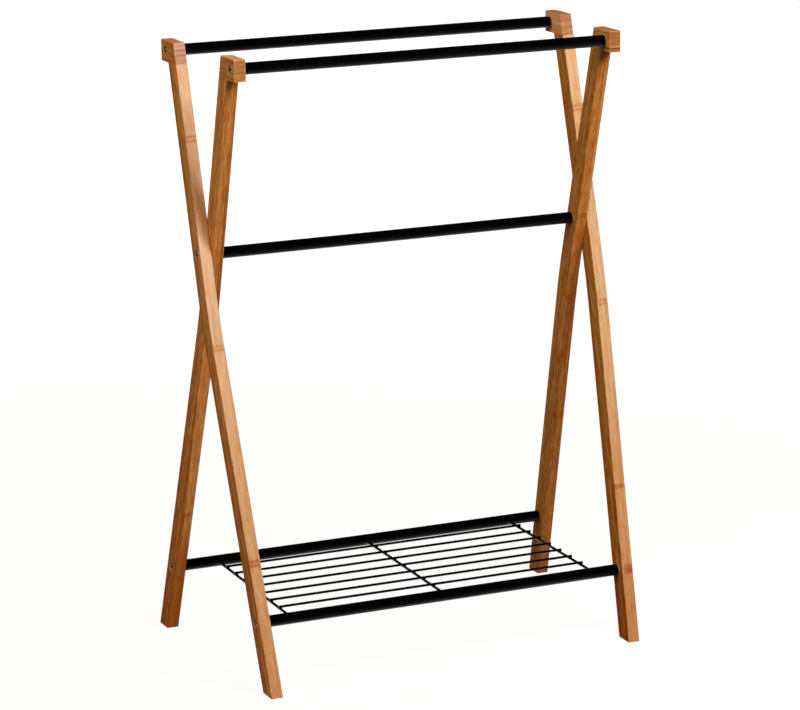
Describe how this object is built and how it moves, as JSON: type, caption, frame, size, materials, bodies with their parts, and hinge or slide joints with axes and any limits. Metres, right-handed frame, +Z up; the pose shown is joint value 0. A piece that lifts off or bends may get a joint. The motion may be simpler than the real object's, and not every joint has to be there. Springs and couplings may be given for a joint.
{
  "type": "towel rack",
  "caption": "Freestanding towel rack with crossed bamboo legs, black steel rails at the top and on the crossing, and a low black wire shelf between the legs.",
  "frame": {"origin": "on the floor, in the middle of the rack", "axes": "+X along the rails to the right, +Y to the rear, +Z up"},
  "size_m": [0.6086, 0.3776, 0.857],
  "materials": {
    "bamboo": "clear satin lacquer on caramel bamboo, grain along the leg",
    "bamboo_head": "clear satin lacquer on caramel bamboo, level grain",
    "black_tube": "gloss black powder coat",
    "black_wire": "gloss black powder coat",
    "plug_nylon": "natural nylon, the flange shows as a pale ring at the tube's end",
    "bolt_steel": "dark nickel plate",
    "dowel_wood": "raw beech"
  },
  "bodies": {
    "root": {"left_outer_leg": "bamboo", "left_inner_leg": "bamboo", "right_outer_leg": "bamboo", "right_inner_leg": "bamboo", "left_rear_head": "bamboo_head", "left_front_head": "bamboo_head", "right_rear_head": "bamboo_head", "right_front_head": "bamboo_head", "rear_top_rail": "black_tube", "front_top_rail": "black_tube", "middle_rail": "black_tube", "front_shelf_tube": "black_tube", "rear_shelf_tube": "black_tube", "left_cross_wire": "black_wire", "middle_cross_wire": "black_wire", "right_cross_wire": "black_wire", "shelf_wire_1": "black_wire", "shelf_wire_2": "black_wire", "shelf_wire_3": "black_wire", "shelf_wire_4": "black_wire", "shelf_wire_5": "black_wire", "shelf_wire_6": "black_wire", "shelf_wire_7": "black_wire", "rear_top_rail_plugs": "plug_nylon", "front_top_rail_plugs": "plug_nylon", "middle_rail_plugs": "plug_nylon", "front_shelf_tube_plugs": "plug_nylon", "rear_shelf_tube_plugs": "plug_nylon", "head_bolts": "bolt_steel", "crossing_bolts": "bolt_steel", "shelf_bolts": "bolt_steel", "head_dowels": "dowel_wood"}
  },
  "joints": []
}
